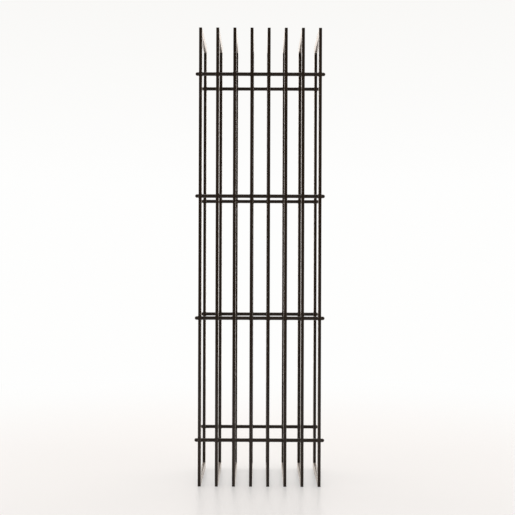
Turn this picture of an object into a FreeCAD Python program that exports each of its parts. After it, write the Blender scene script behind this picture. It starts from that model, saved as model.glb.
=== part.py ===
"""Firewood log rack: eight closed flat-bar frames strung on eight round rods.

Each frame is a tall rectangle of four flat bars set on edge and mitred at the
corners: a front upright, a rear upright, a top bar and a foot bar. Four round
rods run across the front of the rack and four across the rear. Every rod goes
through a hole in each upright that it meets, and its domed ends stand out past
the outer frames.

Millimetres. The origin is on the floor, in the middle of the rack. +X is the
rack's right, -Y its front and +Z up.
"""
import FreeCAD
import Part
import Sketcher
import os

SIZES = [
    ("rack_height", 1500.0),       # floor to the top edge of the frames
    ("rack_depth", 300.0),         # front edge to rear edge of a frame
    ("frame_count", 8),
    ("frame_pitch", 56.0),         # between the middles of two neighbouring frames
    ("flat_width", 25.0),          # the flat bar's wide side, in the plane of its frame
    ("flat_thickness", 10.0),      # the flat bar's narrow side, across the rack
    ("edge_radius", 1.2),          # rolled edge of the flat bar
    ("rod_count", 4),              # in the front, and again in the rear
    ("rod_diameter", 12.0),
    ("rod_clearance", 0.05),       # radial, between a rod and its holes
    ("lowest_rod_height", 150.0),  # floor to the lowest rod's axis
    ("highest_rod_drop", 150.0),   # top edge of the frames down to the highest rod's axis
    ("front_rod_overhang", 12.0),  # past the outer frame's side, at each end
    ("rear_rod_overhang", 8.0),
]

ROD_SPACING = (
    "(sizes.rack_height - sizes.lowest_rod_height - sizes.highest_rod_drop)"
    " / (sizes.rod_count - 1)"
)
ROD_LINE = "(sizes.rack_depth - sizes.flat_width) / 2"
RACK_WIDTH = "(sizes.frame_count - 1) * sizes.frame_pitch + sizes.flat_thickness"

doc = FreeCAD.newDocument("firewood_rack")
sizes = doc.addObject("Spreadsheet::Sheet", "sizes")
for row, (alias, value) in enumerate(SIZES, start=1):
    sizes.set("A%d" % row, alias)
    sizes.set("B%d" % row, str(value))
    sizes.setAlias("B%d" % row, alias)
doc.recompute()

FRAME_COUNT = int(sizes.frame_count)
ROD_COUNT = int(sizes.rod_count)
REARWARD = FreeCAD.Vector(0, 1, 0)
UP = FreeCAD.Vector(0, 0, 1)


def origin_item(body, role):
    """The body's own origin plane or axis with this role."""
    return next(item for item in body.Origin.OriginFeatures if item.Role == role)


def new_body(name):
    body = doc.addObject("PartDesign::Body", name)
    body.Label = name
    return body


def new_sketch(body, name, plane):
    sketch = body.newObject("Sketcher::SketchObject", name)
    sketch.AttachmentSupport = [(origin_item(body, plane), "")]
    sketch.MapMode = "FlatFace"
    return sketch


def bound(sketch, constraint, name, expression):
    """Adds a named size to a sketch and ties it to the sheet."""
    index = sketch.addConstraint(constraint)
    sketch.renameConstraint(index, name)
    sketch.setExpression("Constraints." + name, expression)


def polygon(sketch, points):
    """Closed outline through the points, each side joined to the next."""
    count = len(points)
    for side in range(count):
        start = FreeCAD.Vector(*points[side], 0)
        end = FreeCAD.Vector(*points[(side + 1) % count], 0)
        sketch.addGeometry(Part.LineSegment(start, end), False)
    for side in range(count):
        sketch.addConstraint(
            Sketcher.Constraint("Coincident", side, 2, (side + 1) % count, 1))


def mitred_flat(name, length):
    """Flat bar on edge, mitred at both ends.

    It lies along its sketch's horizontal line. The long edge, on that line, is
    the frame's outside, and the short edge, a flat's width above it, is the inside.
    """
    body = new_body(name)
    outline = new_sketch(body, name + "_outline", "YZ_Plane")
    long_half = float(sizes.rack_depth) / 2
    width = float(sizes.flat_width)
    short_half = long_half - width
    polygon(outline, [(-long_half, 0), (long_half, 0), (short_half, width), (-short_half, width)])
    outline.addConstraint(Sketcher.Constraint("Horizontal", 0))
    outline.addConstraint(Sketcher.Constraint("Symmetric", 0, 1, 0, 2, -1, 1))
    outline.addConstraint(Sketcher.Constraint("Symmetric", 2, 1, 2, 2, -2))
    bound(outline, Sketcher.Constraint("DistanceX", 0, 1, 0, 2, 2 * long_half),
          "long_edge", length)
    bound(outline, Sketcher.Constraint("DistanceX", 2, 2, 2, 1, 2 * short_half),
          "short_edge", length + " - 2 * sizes.flat_width")
    bound(outline, Sketcher.Constraint("DistanceY", 0, 2, 1, 2, width),
          "bar_width", "sizes.flat_width")

    bar = body.newObject("PartDesign::Pad", name + "_bar")
    bar.Profile = outline
    bar.Midplane = True
    bar.setExpression("Length", "sizes.flat_thickness")
    doc.recompute()
    return body, bar


def drill_for_rods(body, blank):
    """Row of holes through an upright, one for each rod."""
    name = body.Label
    circle = new_sketch(body, name + "_hole", "YZ_Plane")
    circle.addGeometry(
        Part.Circle(FreeCAD.Vector(0, 0, 0), FreeCAD.Vector(0, 0, 1), float(sizes.rod_diameter) / 2),
        False)
    bound(circle, Sketcher.Constraint("DistanceX", 0, 3, -1, 1, 1.0),
          "from_middle", "sizes.rack_height / 2 - sizes.lowest_rod_height")
    bound(circle, Sketcher.Constraint("DistanceY", -1, 1, 0, 3, 1.0),
          "from_edge", "sizes.flat_width / 2")
    bound(circle, Sketcher.Constraint("Radius", 0, float(sizes.rod_diameter) / 2),
          "hole_radius", "sizes.rod_diameter / 2 + sizes.rod_clearance")
    hole = body.newObject("PartDesign::Pocket", name + "_drilled")
    hole.Profile = circle
    hole.Type = "ThroughAll"
    hole.Midplane = True
    doc.recompute()

    row = body.newObject("PartDesign::LinearPattern", name + "_hole_row")
    row.Originals = [hole]
    row.Direction = (circle, ["H_Axis"])
    row.setExpression("Length", ROD_SPACING + " * (sizes.rod_count - 1)")
    row.Occurrences = ROD_COUNT
    body.Tip = row
    doc.recompute()

    drilled = float(sizes.flat_thickness) * 3.14159 * float(circle.getDatum("hole_radius")) ** 2
    removed = blank.Shape.Volume - row.Shape.Volume
    if abs(removed - ROD_COUNT * drilled) > 0.01 * drilled:
        raise RuntimeError(name + ": the rod holes are not all cut")
    return row


def round_long_edges(body, base):
    """Rolls the four edges that run along the bar."""
    along = []
    for number, edge in enumerate(base.Shape.Edges, start=1):
        if isinstance(edge.Curve, Part.Line) and abs(edge.tangentAt(edge.FirstParameter).y) > 0.999:
            along.append("Edge%d" % number)
    rolled = body.newObject("PartDesign::Fillet", body.Label + "_rolled_edges")
    rolled.Base = (base, along)
    rolled.setExpression("Radius", "sizes.edge_radius")
    body.Tip = rolled
    doc.recompute()


def place_in_frame(body, number, along, inward, across, height):
    """Stands a bar in its frame: the way its length runs, and the way to the frame's inside."""
    body.Placement.Rotation = FreeCAD.Rotation(along.cross(inward), along, inward, "YZX")
    middle = "(%d - (sizes.frame_count + 1) / 2)" % number
    body.setExpression("Placement.Base.x", middle + " * sizes.frame_pitch")
    body.setExpression("Placement.Base.y", across)
    body.setExpression("Placement.Base.z", height)


def upright(number, side, inward, across):
    body, bar = mitred_flat("frame_%d_%s_upright" % (number, side), "sizes.rack_height")
    row = drill_for_rods(body, bar)
    round_long_edges(body, row)
    place_in_frame(body, number, UP, inward, across, "sizes.rack_height / 2")
    return body


def level_bar(number, kind, inward, height):
    body, bar = mitred_flat("frame_%d_%s_bar" % (number, kind), "sizes.rack_depth")
    round_long_edges(body, bar)
    place_in_frame(body, number, REARWARD, inward, "0", height)
    return body


def domed_rod(name, overhang, across, order):
    """Round rod with a half-ball at each end: half its outline, turned about its axis."""
    body = new_body(name)
    radius = float(sizes.rod_diameter) / 2
    half = ((FRAME_COUNT - 1) * float(sizes.frame_pitch) + float(sizes.flat_thickness)) / 2
    outline = new_sketch(body, name + "_outline", "XZ_Plane")
    axis_point = FreeCAD.Vector(0, 0, 1)
    right = Part.Circle(FreeCAD.Vector(half, 0, 0), axis_point, radius)
    left = Part.Circle(FreeCAD.Vector(-half, 0, 0), axis_point, radius)
    outline.addGeometry(
        Part.LineSegment(FreeCAD.Vector(-half - radius, 0, 0), FreeCAD.Vector(half + radius, 0, 0)),
        False)
    outline.addGeometry(Part.ArcOfCircle(right, 0, 1.5707963), False)
    outline.addGeometry(
        Part.LineSegment(FreeCAD.Vector(half, radius, 0), FreeCAD.Vector(-half, radius, 0)), False)
    outline.addGeometry(Part.ArcOfCircle(left, 1.5707963, 3.1415927), False)
    outline.addConstraint(Sketcher.Constraint("Coincident", 0, 2, 1, 1))
    outline.addConstraint(Sketcher.Constraint("Coincident", 1, 2, 2, 1))
    outline.addConstraint(Sketcher.Constraint("Coincident", 2, 2, 3, 1))
    outline.addConstraint(Sketcher.Constraint("Coincident", 3, 2, 0, 1))
    outline.addConstraint(Sketcher.Constraint("Horizontal", 0))
    outline.addConstraint(Sketcher.Constraint("Symmetric", 0, 1, 0, 2, -1, 1))
    outline.addConstraint(Sketcher.Constraint("PointOnObject", 1, 3, -1))
    outline.addConstraint(Sketcher.Constraint("PointOnObject", 3, 3, -1))
    outline.addConstraint(Sketcher.Constraint("Vertical", 1, 3, 2, 1))
    outline.addConstraint(Sketcher.Constraint("Vertical", 3, 3, 2, 2))
    outline.addConstraint(Sketcher.Constraint("Equal", 1, 3))
    bound(outline, Sketcher.Constraint("Radius", 1, radius), "dome_radius", "sizes.rod_diameter / 2")
    bound(outline, Sketcher.Constraint("DistanceX", 0, 1, 0, 2, 2 * (half + radius)),
          "rod_length", RACK_WIDTH + " + 2 * " + overhang)
    rod = body.newObject("PartDesign::Revolution", name + "_turned")
    rod.Profile = outline
    rod.ReferenceAxis = (outline, ["H_Axis"])
    rod.Angle = 360
    body.Tip = rod
    body.setExpression("Placement.Base.y", across)
    body.setExpression(
        "Placement.Base.z", "sizes.lowest_rod_height + %d * %s" % (order, ROD_SPACING))
    doc.recompute()
    return body


bodies = []
for number in range(1, FRAME_COUNT + 1):
    bodies.append(upright(number, "front", REARWARD, "-sizes.rack_depth / 2"))
    bodies.append(upright(number, "rear", -REARWARD, "sizes.rack_depth / 2"))
    bodies.append(level_bar(number, "top", -UP, "sizes.rack_height"))
    bodies.append(level_bar(number, "foot", UP, "0"))
for order in range(ROD_COUNT):
    bodies.append(domed_rod(
        "front_rod_%d" % (order + 1), "sizes.front_rod_overhang", "-" + ROD_LINE, order))
    bodies.append(domed_rod(
        "rear_rod_%d" % (order + 1), "sizes.rear_rod_overhang", ROD_LINE, order))
doc.recompute()

for item in doc.Objects:
    if "Invalid" in item.State or "Error" in item.State:
        raise RuntimeError("%s failed: %s" % (item.Label, item.State))
for body in bodies:
    if body.Shape.isNull() or not body.Shape.isValid() or len(body.Shape.Solids) != 1:
        raise RuntimeError(body.Label + " is not one valid solid")

os.makedirs("parts", exist_ok=True)
for body in bodies:
    body.Shape.exportStep("parts/%s.step" % body.Label)
    box = body.Shape.BoundBox
    print("%-24s x %8.2f %8.2f  y %8.2f %8.2f  z %8.2f %8.2f  volume %10.1f" % (
        body.Label, box.XMin, box.XMax, box.YMin, box.YMax, box.ZMin, box.ZMax, body.Shape.Volume))
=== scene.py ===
"""Looks of the firewood log rack: eight welded frames of flat bar on eight round rods, coated brown-black.

Every flat bar and rod gets a finer surface in the same place as its plain solid: rolled edges, a hairline at
each mitre, domed rod ends. The weld beads in the corners and round the rods are pieces of their own.
"""
import math

import bpy
import numpy as np
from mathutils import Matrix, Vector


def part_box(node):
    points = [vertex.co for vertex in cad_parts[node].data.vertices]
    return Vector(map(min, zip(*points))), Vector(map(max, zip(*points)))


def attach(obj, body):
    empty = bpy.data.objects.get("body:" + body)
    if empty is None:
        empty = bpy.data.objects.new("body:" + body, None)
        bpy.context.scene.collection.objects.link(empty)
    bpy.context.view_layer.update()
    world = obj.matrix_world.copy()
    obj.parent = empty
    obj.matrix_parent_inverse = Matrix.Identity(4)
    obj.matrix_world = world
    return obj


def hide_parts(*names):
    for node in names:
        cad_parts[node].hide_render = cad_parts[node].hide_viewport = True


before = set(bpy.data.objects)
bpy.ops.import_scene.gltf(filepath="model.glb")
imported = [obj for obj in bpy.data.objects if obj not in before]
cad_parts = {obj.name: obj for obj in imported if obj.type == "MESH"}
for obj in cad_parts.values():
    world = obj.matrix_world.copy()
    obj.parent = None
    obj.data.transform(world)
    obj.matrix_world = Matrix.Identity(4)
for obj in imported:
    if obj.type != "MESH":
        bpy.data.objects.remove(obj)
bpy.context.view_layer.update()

MM = 0.001
TURN = 2 * math.pi


# ---------------------------------------------------------------- sizes, all read from the frame
class Rack:
    """The rack's own sizes, in metres, worked out from the boxes of its plain solids."""

    frames = sum(name.endswith("_foot_bar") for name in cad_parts)
    rods = sum(name.startswith("front_rod_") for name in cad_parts)
    foot_low, foot_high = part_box("frame_1_foot_bar")
    front_low, front_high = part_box("frame_1_front_upright")
    thickness = foot_high.x - foot_low.x
    flat_width = foot_high.z - foot_low.z
    depth = foot_high.y - foot_low.y
    height = front_high.z - front_low.z
    rod_radius = (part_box("front_rod_1")[1].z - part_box("front_rod_1")[0].z) / 2


ROLLED_EDGE = 1.2 * MM
HAIRLINE = 0.18 * MM
BEAD_LEG = 1.6 * MM
CORNER_LEG = 4.0 * MM


def frame_middle(number):
    """Where this frame's middle plane crosses the X axis."""
    low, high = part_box("frame_%d_foot_bar" % number)
    return (low.x + high.x) / 2


# ---------------------------------------------------------------- meshes from worked-out surfaces
def shell(points, run, lap, rubbed, looped=False):
    """One closed surface on a grid: rows along it, columns round it, the last column joined to the first.

    run is how far along each point is and lap how far round each column is, with one more for the
    way back to the first. They become the UV map, in metres. A looped shell also joins its last row
    to its first, as a ring does, and any other gets a face over each end. The sign of the volume, a
    sum of a . (b x c) / 6 over triangles, tells which way round the corners go to face outwards.
    """
    rows, columns, _ = points.shape
    row = np.arange(rows if looped else rows - 1)[:, None]
    column = np.arange(columns)[None, :]
    steps = [(0, 0), (0, 1), (1, 1), (1, 0)]
    at_row = np.stack([row + down + 0 * column for down, _ in steps], axis=-1) % rows
    at_column = np.stack([column + over + 0 * row for _, over in steps], axis=-1)
    quads = (at_row * columns + at_column % columns).reshape(-1, 4)
    map_corners = np.stack([run[at_row, at_column % columns], lap[at_column]], axis=-1).reshape(-1, 4, 2)
    flat = points.reshape(-1, 3)
    a, b, c, d = (flat[quads[:, side]] for side in range(4))
    volume = np.einsum("ij,ij->", a, np.cross(b, c)) + np.einsum("ij,ij->", a, np.cross(c, d))
    ends = []
    if not looped:
        first = np.arange(columns)[::-1]
        ends = [first, (rows - 1) * columns + first[::-1]]
        for end in ends:
            fan = flat[end]
            volume += np.einsum("ij,ij->", np.cross(fan[1:-1], fan[2:]), np.tile(fan[0], (columns - 2, 1)))
    if volume < 0:
        quads, map_corners = quads[:, ::-1], map_corners[:, ::-1]
        ends = [end[::-1] for end in ends]
    return {"points": flat, "quads": quads, "ends": ends, "uv": map_corners,
            "rubbed": np.broadcast_to(rubbed, (rows, columns)).ravel()}


def piece(name, shells, material, node=None):
    """Makes one mesh of its shells and adds it to the scene as a finished piece of the rack."""
    faces, corners, offset = [], [], 0
    for part in shells:
        faces += (part["quads"] + offset).tolist() + [(end + offset).tolist() for end in part["ends"]]
        corners.append(part["uv"].reshape(-1, 2))
        corners += [np.zeros((len(end), 2)) for end in part["ends"]]
        offset += len(part["points"])
    mesh = bpy.data.meshes.new(name)
    mesh.from_pydata(np.concatenate([part["points"] for part in shells]).tolist(), [], faces)
    mesh.uv_layers.new(name="along_and_round").data.foreach_set("uv", np.concatenate(corners).ravel())
    rubbed = mesh.attributes.new("rubbed", "FLOAT", "POINT")
    rubbed.data.foreach_set("value", np.concatenate([part["rubbed"] for part in shells]).astype(np.float32))
    mesh.validate()
    mesh.materials.append(material)
    mesh.shade_smooth()
    mesh.set_sharp_from_angle(angle=math.radians(40))
    thing = bpy.data.objects.new(name, mesh)
    bpy.context.scene.collection.objects.link(thing)
    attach(thing, "root")
    if node:
        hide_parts(node)
    return thing


def way_round(across, inward):
    """Distance round a closed outline at each of its points, and once more back at the first."""
    outline = np.stack([across, inward], axis=-1)
    sides = np.linalg.norm(np.roll(outline, -1, axis=0) - outline, axis=1)
    return np.concatenate([[0], np.cumsum(sides)])


# ---------------------------------------------------------------- flat bars and rods
def rolled_profile(thickness, width, radius, steps=6):
    """Rounded rectangle of a flat bar, anticlockwise: four quarter circles joined by straight sides.

    Gives (across, inward, rubbed): across the thickness about 0, inward from 0 at the bar's outer
    edge, and how much of a corner each point is, which peaks half-way round its quarter circle.
    """
    quarter = np.linspace(0, math.pi / 2, steps + 1)
    centres = [(1, 1, 0), (-1, 1, 1), (-1, -1, 2), (1, -1, 3)]
    across, inward, rubbed = [], [], []
    for side, end, quarter_turns in centres:
        angle = quarter + quarter_turns * math.pi / 2
        across.append(side * (thickness / 2 - radius) + radius * np.cos(angle))
        inward.append(width / 2 + end * (width / 2 - radius) + radius * np.sin(angle))
        rubbed.append(np.sin(2 * quarter))
    return np.concatenate(across), np.concatenate(inward), np.concatenate(rubbed)


def flat_bar(name, outer_start, outer_end, inside, middle, material):
    """Mitred flat bar from one outer corner of its frame to the next.

    The rolled profile is carried along the bar. A point that lies w inside the outer edge starts
    and ends w short of the corners, which makes the 45 degree mitres. The profile is a hairline
    smaller at its very ends, so that each joint shows as a fine line.
    """
    across, inward, rubbed = rolled_profile(Rack.thickness, Rack.flat_width, ROLLED_EDGE)
    start, end, inside = np.array(outer_start), np.array(outer_end), np.array(inside)
    length = np.linalg.norm(end - start)
    along = (end - start) / length
    stations = np.concatenate([[0, HAIRLINE], np.linspace(0.02, length / 2, 24)])
    stations = np.concatenate([stations, length - stations[::-1][1:]])
    shrink = np.where(np.minimum(stations, length - stations) < HAIRLINE / 2, HAIRLINE, 0.0)[:, None]
    thick = across * (1 - shrink * 2 / Rack.thickness)
    deep = Rack.flat_width / 2 + (inward - Rack.flat_width / 2) * (1 - shrink * 2 / Rack.flat_width)
    run = deep + (stations / length)[:, None] * (length - 2 * deep)
    points = start + run[..., None] * along + deep[..., None] * inside
    points[..., 0] = middle + thick
    surface = shell(points, run, way_round(across, inward), rubbed)
    return piece(name + "_surface", [surface], material, name)


def frame_bars(number, material):
    """The four bars of one frame, from corner to corner round its outside."""
    middle = frame_middle(number)
    half = Rack.depth / 2
    front_foot, front_top = (middle, -half, 0), (middle, -half, Rack.height)
    rear_foot, rear_top = (middle, half, 0), (middle, half, Rack.height)
    name = "frame_%d_" % number
    flat_bar(name + "front_upright", front_foot, front_top, (0, 1, 0), middle, material)
    flat_bar(name + "rear_upright", rear_foot, rear_top, (0, -1, 0), middle, material)
    flat_bar(name + "top_bar", front_top, rear_top, (0, 0, -1), middle, material)
    flat_bar(name + "foot_bar", front_foot, rear_foot, (0, 0, 1), middle, material)


def rod(name, material, around=64, dome_steps=16):
    """Round rod with a half-ball at each end: a circle carried along X, its radius following the domes.

    The radius at t round the dome is r sin t, and it stands r (1 - cos t) in from the rod's end.
    """
    low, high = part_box(name)
    radius = Rack.rod_radius
    dome = np.linspace(0.02, math.pi / 2, dome_steps)
    straight = np.linspace(low.x + radius, high.x - radius, 60)[1:-1]
    nose_x, nose_r = radius * (1 - np.cos(dome)), radius * np.sin(dome)
    x = np.concatenate([low.x + nose_x, straight, (high.x - nose_x)[::-1]])
    r = np.concatenate([nose_r, np.full(len(straight), radius), nose_r[::-1]])
    angle = np.linspace(0, TURN, around, endpoint=False)
    points = np.empty((len(x), around, 3))
    points[..., 0] = x[:, None]
    points[..., 1] = (low.y + high.y) / 2 + r[:, None] * np.cos(angle)
    points[..., 2] = (low.z + high.z) / 2 + r[:, None] * np.sin(angle)
    run = np.broadcast_to(x[:, None], points.shape[:2])
    lap = np.linspace(0, TURN * radius, around + 1)
    rubbed = np.clip(1.2 - 1.2 * r / radius, 0, 1)[:, None]
    return piece(name + "_surface", [shell(points, run, lap, rubbed)], material, name)


# ---------------------------------------------------------------- weld beads
def ring_bead(face_x, outward, centre_y, centre_z, luck):
    """Fillet weld that runs once round a rod where it leaves a bar's face.

    Its section is a quarter disc, a little flattened, in the corner between rod and face. The leg
    swells and thins as the torch went round: leg (1 + 0.07 sin(9 t + p) + 0.14 sin(2 t + q)), with
    p and q by chance.
    """
    t = np.linspace(0, TURN, 40, endpoint=False)
    p, q = luck.uniform(0, TURN, 2)
    leg = BEAD_LEG * (1 + 0.07 * np.sin(9 * t + p) + 0.14 * np.sin(2 * t + q))
    sunk = 0.3 * MM
    angle = np.linspace(0, math.pi / 2, 5)
    bulge = 1 - 0.16 * np.sin(2 * angle)
    off_face = np.concatenate([[0.0], bulge * np.cos(angle)])[:, None] * leg
    off_rod = np.concatenate([[0.0], bulge * np.sin(angle)])[:, None] * leg
    radius = Rack.rod_radius + off_rod - np.where(off_rod < sunk, sunk, 0)
    points = np.empty(radius.shape + (3,))
    points[..., 0] = face_x + outward * (off_face - np.where(off_face < sunk, sunk, 0))
    points[..., 1] = centre_y + radius * np.cos(t)
    points[..., 2] = centre_z + radius * np.sin(t)
    run = np.linspace(0, 3 * BEAD_LEG, len(points))[:, None] + 0 * t
    lap = np.linspace(0, TURN * Rack.rod_radius, len(t) + 1)
    return shell(points, run, lap, 0.0, looped=True)


def rod_welds(name, material, luck):
    """All the beads of one rod, one on each side of every frame that it goes through."""
    low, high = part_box(name)
    centre_y, centre_z = (low.y + high.y) / 2, (low.z + high.z) / 2
    rings = []
    for number in range(1, Rack.frames + 1):
        for outward in (-1, 1):
            face_x = frame_middle(number) + outward * Rack.thickness / 2
            rings.append(ring_bead(face_x, outward, centre_y, centre_z, luck))
    return piece(name + "_welds", rings, material)


def corner_bead(middle, corner_y, corner_z, inward_y, inward_z, luck):
    """Weld laid across the thickness in one inner corner of a frame.

    Its section is a quarter of a rippled ball-ended bar: at s across the bar the leg is
    leg (1 - |s|^4) (1 + 0.13 sin(w s + p)), so that the bead runs out to nothing at both faces.
    """
    s = np.linspace(-0.98, 0.98, 33)
    leg = CORNER_LEG * (1 - 0.85 * s ** 4) * (1 + 0.13 * np.sin(16 * s + luck.uniform(0, TURN)))
    angle = np.linspace(0, math.pi / 2, 9)
    sunk = 0.5 * MM
    bulge = 1 - 0.18 * np.sin(2 * angle)
    out_y = np.concatenate([[-sunk, 1.0], bulge * np.cos(angle), [-sunk]])
    out_z = np.concatenate([[-sunk, -sunk], bulge * np.sin(angle), [1.0]])
    off_y = np.where(out_y < 0, out_y, out_y * leg[:, None])
    off_z = np.where(out_z < 0, out_z, out_z * leg[:, None])
    points = np.empty(off_y.shape + (3,))
    points[..., 0] = middle + (s * (Rack.thickness / 2 - ROLLED_EDGE * 0.6))[:, None]
    points[..., 1] = corner_y + inward_y * off_y
    points[..., 2] = corner_z + inward_z * off_z
    run = (points[..., 0] - middle)
    return shell(points, run, way_round(out_y * CORNER_LEG, out_z * CORNER_LEG), 0.0)


def frame_welds(number, material, luck):
    """The four inner-corner beads of one frame."""
    y, top = Rack.depth / 2 - Rack.flat_width, Rack.height - Rack.flat_width
    corners = [(-y, Rack.flat_width, 1, 1), (y, Rack.flat_width, -1, 1), (-y, top, 1, -1), (y, top, -1, -1)]
    beads = [corner_bead(frame_middle(number), *corner, luck) for corner in corners]
    return piece("frame_%d_corner_welds" % number, beads, material)


# ---------------------------------------------------------------- finishes
BROWN_BLACK = (0.0250, 0.0182, 0.0136)
RUBBED_BROWN = (0.0420, 0.0330, 0.0260)
WARM_HAZE = (1.0, 0.91, 0.83, 1)


class Finish:
    """A material under construction: short ways to add nodes and to link them."""

    def __init__(self, name):
        self.material = bpy.data.materials.new(name)
        self.material.use_nodes = True
        self.tree = self.material.node_tree
        self.shader = self.tree.nodes["Principled BSDF"]
        self.coords = self.tree.nodes.new("ShaderNodeTexCoord")

    def put(self, socket, value):
        if isinstance(value, bpy.types.NodeSocket):
            self.tree.links.new(value, socket)
        else:
            socket.default_value = value

    def noise(self, space, scale, detail=2.0, stretch=None):
        """Noise from 0 to 1 on object or UV coordinates, stretched along any axis."""
        vector = self.coords.outputs[space]
        if stretch:
            mapping = self.tree.nodes.new("ShaderNodeMapping")
            mapping.inputs["Scale"].default_value = stretch
            self.put(mapping.inputs["Vector"], vector)
            vector = mapping.outputs["Vector"]
        texture = self.tree.nodes.new("ShaderNodeTexNoise")
        self.put(texture.inputs["Vector"], vector)
        texture.inputs["Scale"].default_value = scale
        texture.inputs["Detail"].default_value = detail
        return texture.outputs["Fac"]

    def between(self, value, low, high, to_low=0.0, to_high=1.0):
        """Where value lies between low and high, given as a number between to_low and to_high."""
        node = self.tree.nodes.new("ShaderNodeMapRange")
        self.put(node.inputs["Value"], value)
        for name, number in (("From Min", low), ("From Max", high), ("To Min", to_low), ("To Max", to_high)):
            node.inputs[name].default_value = number
        return node.outputs["Result"]

    def arithmetic(self, operation, first, second):
        node = self.tree.nodes.new("ShaderNodeMath")
        node.operation = operation
        self.put(node.inputs[0], first)
        self.put(node.inputs[1], second)
        return node.outputs[0]

    def blend(self, factor, first, second):
        node = self.tree.nodes.new("ShaderNodeMix")
        node.data_type = "RGBA"
        self.put(node.inputs["Factor"], factor)
        for name, colour in (("A", first), ("B", second)):
            self.put(node.inputs[name], colour if isinstance(colour, bpy.types.NodeSocket) else (*colour, 1))
        return node.outputs["Result"]

    def bump(self, height, depth, strength=1.0, below=None):
        """Relief that is depth metres high where height goes from 0 to 1."""
        node = self.tree.nodes.new("ShaderNodeBump")
        node.inputs["Strength"].default_value = strength
        node.inputs["Distance"].default_value = depth
        self.put(node.inputs["Height"], height)
        if below:
            self.put(node.inputs["Normal"], below)
        return node.outputs["Normal"]


def coated_steel(name, grain_stretch, orange_peel, smooth, rough):
    """Satin brown-black coating baked on over rolled steel.

    The colour drifts a little over hand-wide patches and is mottled finely. The coat is thinner
    and rubbed a shade lighter on the rolled edges, in patches. Its gloss is uneven, its skin has the
    ripple of a baked-on coat, and the lines of the rolled bar show through it faintly. A low index and
    a warm haze keep it dark face on and pale where it is seen edge on, as a satin powder coat is.
    """
    finish = Finish(name)
    finish.shader.inputs["IOR"].default_value = 1.3
    finish.shader.inputs["Sheen Weight"].default_value = 0.8
    finish.shader.inputs["Sheen Roughness"].default_value = 0.3
    finish.shader.inputs["Sheen Tint"].default_value = WARM_HAZE
    drift = finish.between(finish.noise("Object", 9.0), 0.35, 0.65)
    mottle = finish.between(finish.noise("Object", 420.0, 3.0), 0.3, 0.7)
    paler = tuple(1.36 * part for part in BROWN_BLACK)
    deeper = tuple(0.80 * part for part in BROWN_BLACK)
    both = finish.arithmetic("MULTIPLY", finish.arithmetic("ADD", drift, mottle), 0.5)
    shade = finish.blend(both, deeper, paler)
    edge = finish.tree.nodes.new("ShaderNodeAttribute")
    edge.attribute_name = "rubbed"
    patches = finish.between(finish.noise("Object", 34.0, 4.0), 0.48, 0.66)
    worn = finish.arithmetic("MULTIPLY", edge.outputs["Fac"], patches)
    finish.put(finish.shader.inputs["Base Color"],
               finish.blend(finish.arithmetic("MULTIPLY", worn, 0.7), shade, RUBBED_BROWN))
    gloss = finish.between(finish.noise("Object", 60.0, 4.0), 0.3, 0.7, smooth, rough)
    rubbed_dull = finish.arithmetic("MULTIPLY", worn, 0.08)
    finish.put(finish.shader.inputs["Roughness"], finish.arithmetic("ADD", gloss, rubbed_dull))
    rolled = finish.noise("UV", 1.0, 2.0, grain_stretch)
    normal = finish.bump(rolled, 0.02 * MM, 0.5)
    normal = finish.bump(finish.noise("Object", 330.0, 1.0), orange_peel, 0.6, normal)
    finish.put(finish.shader.inputs["Normal"], normal)
    return finish.material


flat_coating = coated_steel("flat_bar_coating", (14.0, 700.0, 1.0), 0.05 * MM, 0.16, 0.22)
rod_coating = coated_steel("rod_coating", (22.0, 420.0, 1.0), 0.04 * MM, 0.16, 0.22)
bead_coating = coated_steel("weld_bead_coating", (300.0, 300.0, 1.0), 0.06 * MM, 0.20, 0.28)
by_chance = np.random.default_rng(8)

for number in range(1, Rack.frames + 1):
    frame_bars(number, flat_coating)
    frame_welds(number, bead_coating, by_chance)
for number in range(1, Rack.rods + 1):
    for side in ("front", "rear"):
        rod("%s_rod_%d" % (side, number), rod_coating)
        rod_welds("%s_rod_%d" % (side, number), bead_coating, by_chance)


# ---------------------------------------------------------------- floor, light and camera
BACKDROP = (0.991, 0.991, 0.985, 1)
UPPER_BACKDROP = (0.947, 0.939, 0.922, 1)
ROOM_WHITE = (1.0, 0.955, 0.915, 1)
DIM_BROWN = (0.24, 0.172, 0.124, 1)
FLOOR_GREY = (0.610, 0.590, 0.585, 1)
FLOOR_RADIUS = 3.0


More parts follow.
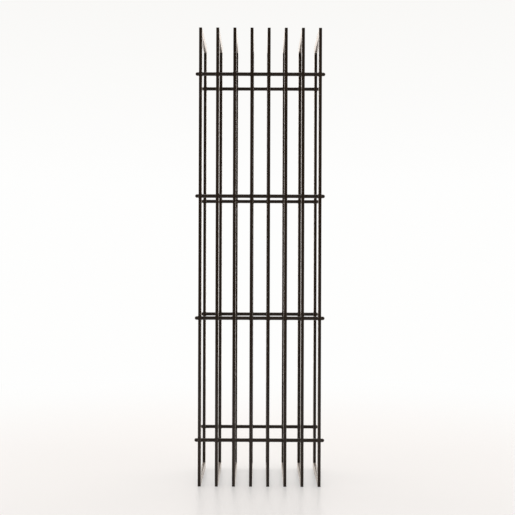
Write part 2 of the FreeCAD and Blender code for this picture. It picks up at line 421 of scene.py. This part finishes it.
def pale_floor():
    """Round pale floor, polished just enough to mirror the feet of the rack softly.

    Its lit surface fades into the backdrop's own white at its rim, and holds a share of that white
    everywhere, so that shadows stay pale.
    """
    around = np.linspace(0, TURN, 180, endpoint=False)
    rim = FLOOR_RADIUS * np.stack([np.cos(around), np.sin(around), 0 * around], axis=-1)
    mesh = bpy.data.meshes.new("floor")
    mesh.from_pydata(rim.tolist(), [], [list(range(len(rim)))])
    floor = bpy.data.objects.new("floor", mesh)
    bpy.context.scene.collection.objects.link(floor)
    material = bpy.data.materials.new("pale_floor")
    material.use_nodes = True
    nodes, links = material.node_tree.nodes, material.node_tree.links
    shader = nodes["Principled BSDF"]
    shader.inputs["Base Color"].default_value = FLOOR_GREY
    shader.inputs["Roughness"].default_value = 0.38
    shader.inputs["Specular IOR Level"].default_value = 0.4
    coords = nodes.new("ShaderNodeTexCoord")
    distance = nodes.new("ShaderNodeVectorMath")
    distance.operation = "LENGTH"
    links.new(coords.outputs["Object"], distance.inputs[0])
    fade = nodes.new("ShaderNodeMapRange")
    fade.interpolation_type = "SMOOTHSTEP"
    fade.inputs["From Min"].default_value = 0.5
    fade.inputs["From Max"].default_value = FLOOR_RADIUS - 0.1
    fade.inputs["To Min"].default_value = 0.38
    links.new(distance.outputs["Value"], fade.inputs["Value"])
    white = nodes.new("ShaderNodeEmission")
    white.inputs["Color"].default_value = BACKDROP
    mix = nodes.new("ShaderNodeMixShader")
    links.new(fade.outputs["Result"], mix.inputs["Fac"])
    links.new(shader.outputs["BSDF"], mix.inputs[1])
    links.new(white.outputs["Emission"], mix.inputs[2])
    links.new(mix.outputs["Shader"], nodes["Material Output"].inputs["Surface"])
    mesh.materials.append(material)


def soft_ceiling():
    """Wide soft light from overhead, equally strong everywhere on the floor."""
    data = bpy.data.lights.new("ceiling", "SUN")
    data.energy = 0.8
    data.angle = math.radians(110)
    data.color = (0.96, 1.0, 1.0)
    light = bpy.data.objects.new("ceiling", data)
    light.rotation_euler = (math.radians(-14), 0, 0)
    bpy.context.scene.collection.objects.link(light)


def white_room():
    """Bright studio: warm white behind, beside and above the rack, and a dim brown room in front of it.

    The light that falls on the rack is a blend by direction, from the dim room where the direction
    points to the front to white where it points back or up. The backdrop seen past the rack is even.
    """
    world = bpy.data.worlds.new("white_room")
    world.use_nodes = True
    nodes, links = world.node_tree.nodes, world.node_tree.links
    background = nodes["Background"]
    direction = nodes.new("ShaderNodeTexCoord")
    parts = nodes.new("ShaderNodeSeparateXYZ")
    links.new(direction.outputs["Generated"], parts.inputs[0])
    toward_back = nodes.new("ShaderNodeMapRange")
    toward_back.interpolation_type = "SMOOTHSTEP"
    toward_back.inputs["From Min"].default_value = -0.85
    toward_back.inputs["From Max"].default_value = 0.05
    links.new(parts.outputs["Y"], toward_back.inputs["Value"])
    blend = nodes.new("ShaderNodeMix")
    blend.data_type = "RGBA"
    blend.inputs["A"].default_value = DIM_BROWN
    blend.inputs["B"].default_value = ROOM_WHITE
    links.new(toward_back.outputs["Result"], blend.inputs["Factor"])
    height = nodes.new("ShaderNodeMapRange")
    height.inputs["From Min"].default_value = 0.08
    height.inputs["From Max"].default_value = 0.27
    links.new(parts.outputs["Z"], height.inputs["Value"])
    backdrop = nodes.new("ShaderNodeMix")
    backdrop.data_type = "RGBA"
    backdrop.inputs["A"].default_value = BACKDROP
    backdrop.inputs["B"].default_value = UPPER_BACKDROP
    links.new(height.outputs["Result"], backdrop.inputs["Factor"])
    seen = nodes.new("ShaderNodeLightPath")
    shown = nodes.new("ShaderNodeMix")
    shown.data_type = "RGBA"
    links.new(seen.outputs["Is Camera Ray"], shown.inputs["Factor"])
    links.new(blend.outputs["Result"], shown.inputs["A"])
    links.new(backdrop.outputs["Result"], shown.inputs["B"])
    links.new(shown.outputs["Result"], background.inputs["Color"])
    glare = nodes.new("ShaderNodeMapRange")
    glare.inputs["From Min"].default_value = 0.3
    glare.inputs["From Max"].default_value = 1.0
    glare.inputs["To Min"].default_value = 1.0
    glare.inputs["To Max"].default_value = 1.9
    links.new(parts.outputs["Y"], glare.inputs["Value"])
    strength = nodes.new("ShaderNodeMix")
    strength.inputs["B"].default_value = 1.0
    links.new(seen.outputs["Is Camera Ray"], strength.inputs["Factor"])
    links.new(glare.outputs["Result"], strength.inputs["A"])
    links.new(strength.outputs["Result"], background.inputs["Strength"])
    bpy.context.scene.world = world


def place_camera():
    """Camera square to the rack's front, a little below its middle and tilted a fraction of a degree."""
    data = bpy.data.cameras.new("camera")
    data.lens = 69.72
    data.shift_x = -0.0056
    data.shift_y = 0.0151
    camera = bpy.data.objects.new("camera", data)
    camera.location = (0.0018, -3.408, 0.7235)
    camera.rotation_euler = (math.radians(90), math.radians(-0.187), 0)
    bpy.context.scene.collection.objects.link(camera)
    bpy.context.scene.camera = camera


pale_floor()
white_room()
soft_ceiling()
place_camera()
bpy.context.scene.view_settings.view_transform = "Standard"
